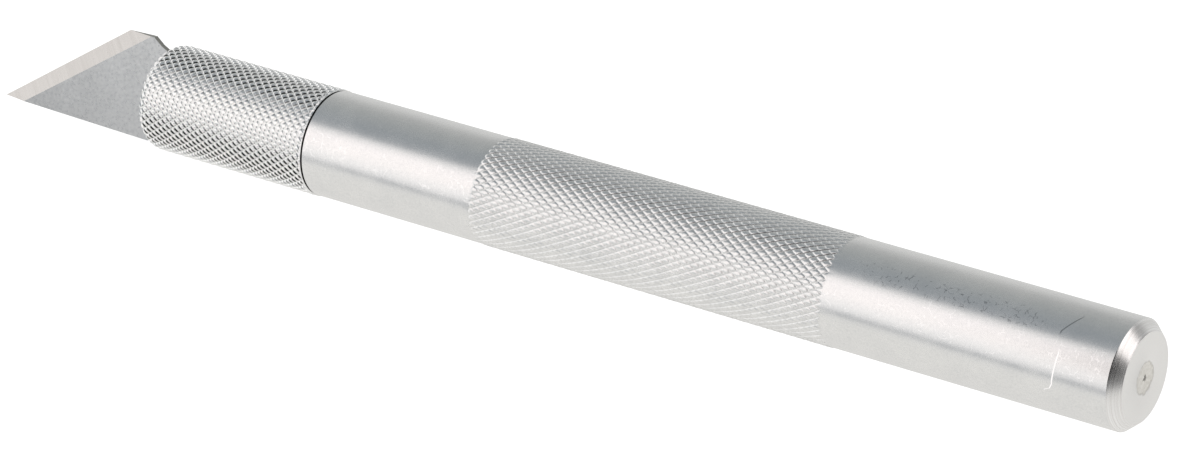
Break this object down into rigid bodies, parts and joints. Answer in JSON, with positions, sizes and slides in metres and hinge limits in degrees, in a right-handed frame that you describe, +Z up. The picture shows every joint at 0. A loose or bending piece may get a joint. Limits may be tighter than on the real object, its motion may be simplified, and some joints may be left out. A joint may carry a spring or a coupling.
{
  "type": "hobby craft knife",
  "caption": "Round aluminium craft knife: knurled grip band and screw collar, split collet, angled blade with a sloping cutting edge.",
  "frame": {"origin": "centre of the flat butt face", "axes": "+X along the handle to the blade's tip, +Z up in the plane of the blade, on the side of the blade's back corner"},
  "size_m": [0.1491, 0.0122, 0.0127],
  "materials": {
    "handle": "satin",
    "collar": "satin",
    "collet": "satin",
    "blade": "satin"
  },
  "bodies": {
    "handle": {"handle": "handle"},
    "collet": {"collet": "collet"},
    "collar": {"collar": "collar"},
    "blade": {"blade": "blade"}
  },
  "joints": [
    {"name": "collet_slide", "type": "slide", "parent": "handle", "child": "collet", "axis": [1, 0, 0], "range_m": [0, 0.008]},
    {"name": "collar_turn", "type": "hinge", "parent": "collet", "child": "collar", "pos_m": [0.1135, 0, 0], "axis": [1, 0, 0], "range_deg": [0, 2880]},
    {"name": "blade_slide", "type": "slide", "parent": "collet", "child": "blade", "axis": [1, 0, 0], "range_m": [0, 0.025]}
  ],
  "couplings": [
    {"joint": "collar_turn", "follows": "collet_slide", "rad_per_m": 6283.2}
  ]
}
